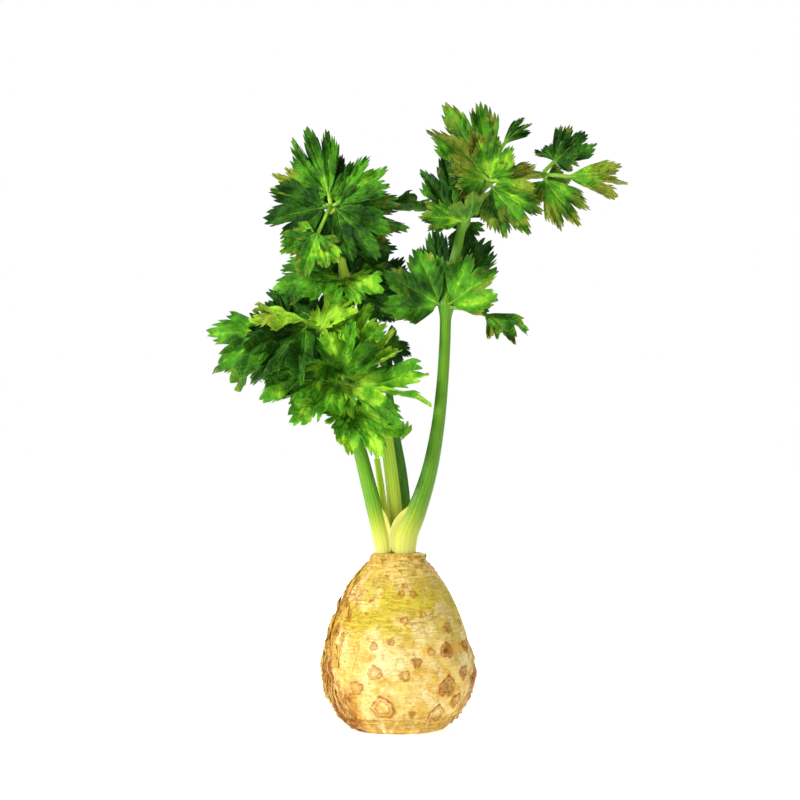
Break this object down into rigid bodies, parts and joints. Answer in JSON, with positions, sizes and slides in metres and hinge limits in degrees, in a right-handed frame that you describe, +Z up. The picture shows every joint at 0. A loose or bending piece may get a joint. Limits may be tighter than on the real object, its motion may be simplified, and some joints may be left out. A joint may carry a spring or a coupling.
{
  "type": "celeriac root",
  "caption": "Swollen round root with a flat foot, leaf stalks that rise from its crown, and toothed fan-shaped leaflets along each stalk.",
  "frame": {"origin": "centre of the flat foot that the root rests on", "axes": "+Z up from the foot to the leaves, +X to the right and -Y to the front as the celeriac is seen from its front"},
  "size_m": [0.2996, 0.109, 0.4531],
  "materials": {
    "root_skin": "matt cream and tan root skin with brown scars",
    "stalk_skin": "satin ribbed green stalk, pale at its base",
    "leaf_blade": "satin veined green leaf with yellow patches"
  },
  "bodies": {
    "root": {"root": "root_skin", "right_stalk": "stalk_skin", "left_stalk": "stalk_skin", "centre_stalk": "stalk_skin", "back_stalk": "stalk_skin", "young_stalk": "stalk_skin", "right_low_left": "leaf_blade", "right_low_right": "leaf_blade", "right_low_drooping": "leaf_blade", "right_low_back": "leaf_blade", "right_mid_left": "leaf_blade", "right_mid_front": "leaf_blade", "right_mid_up": "leaf_blade", "right_mid_back": "leaf_blade", "right_top": "leaf_blade", "right_top_front": "leaf_blade", "right_top_heart": "leaf_blade", "right_top_edge": "leaf_blade", "right_side": "leaf_blade", "right_side_low": "leaf_blade", "right_far_low": "leaf_blade", "right_far_up": "leaf_blade", "right_far_curled": "leaf_blade", "centre_tip": "leaf_blade", "centre_tip_back": "leaf_blade", "centre_up_right": "leaf_blade", "centre_up_left": "leaf_blade", "centre_left": "leaf_blade", "centre_hanging": "leaf_blade", "centre_low_front": "leaf_blade", "centre_far_right": "leaf_blade", "centre_slender": "leaf_blade", "centre_second_right": "leaf_blade", "centre_second_front": "leaf_blade", "centre_second_left": "leaf_blade", "centre_second_back": "leaf_blade", "centre_middle_right": "leaf_blade", "left_up_bright": "leaf_blade", "left_down_bright": "leaf_blade", "left_up_dark": "leaf_blade", "left_olive": "leaf_blade", "left_far": "leaf_blade", "left_far_low": "leaf_blade", "left_far_up": "leaf_blade", "left_front_dark": "leaf_blade", "left_low": "leaf_blade", "left_low_front": "leaf_blade", "left_low_back": "leaf_blade", "left_inner_front": "leaf_blade", "left_inner_up": "leaf_blade", "left_mid_yellow": "leaf_blade", "left_bottom_right": "leaf_blade", "left_bottom": "leaf_blade", "back_right": "leaf_blade", "back_up": "leaf_blade", "back_low_right": "leaf_blade", "back_behind": "leaf_blade", "back_small": "leaf_blade", "young_tip": "leaf_blade"}
  },
  "joints": []
}
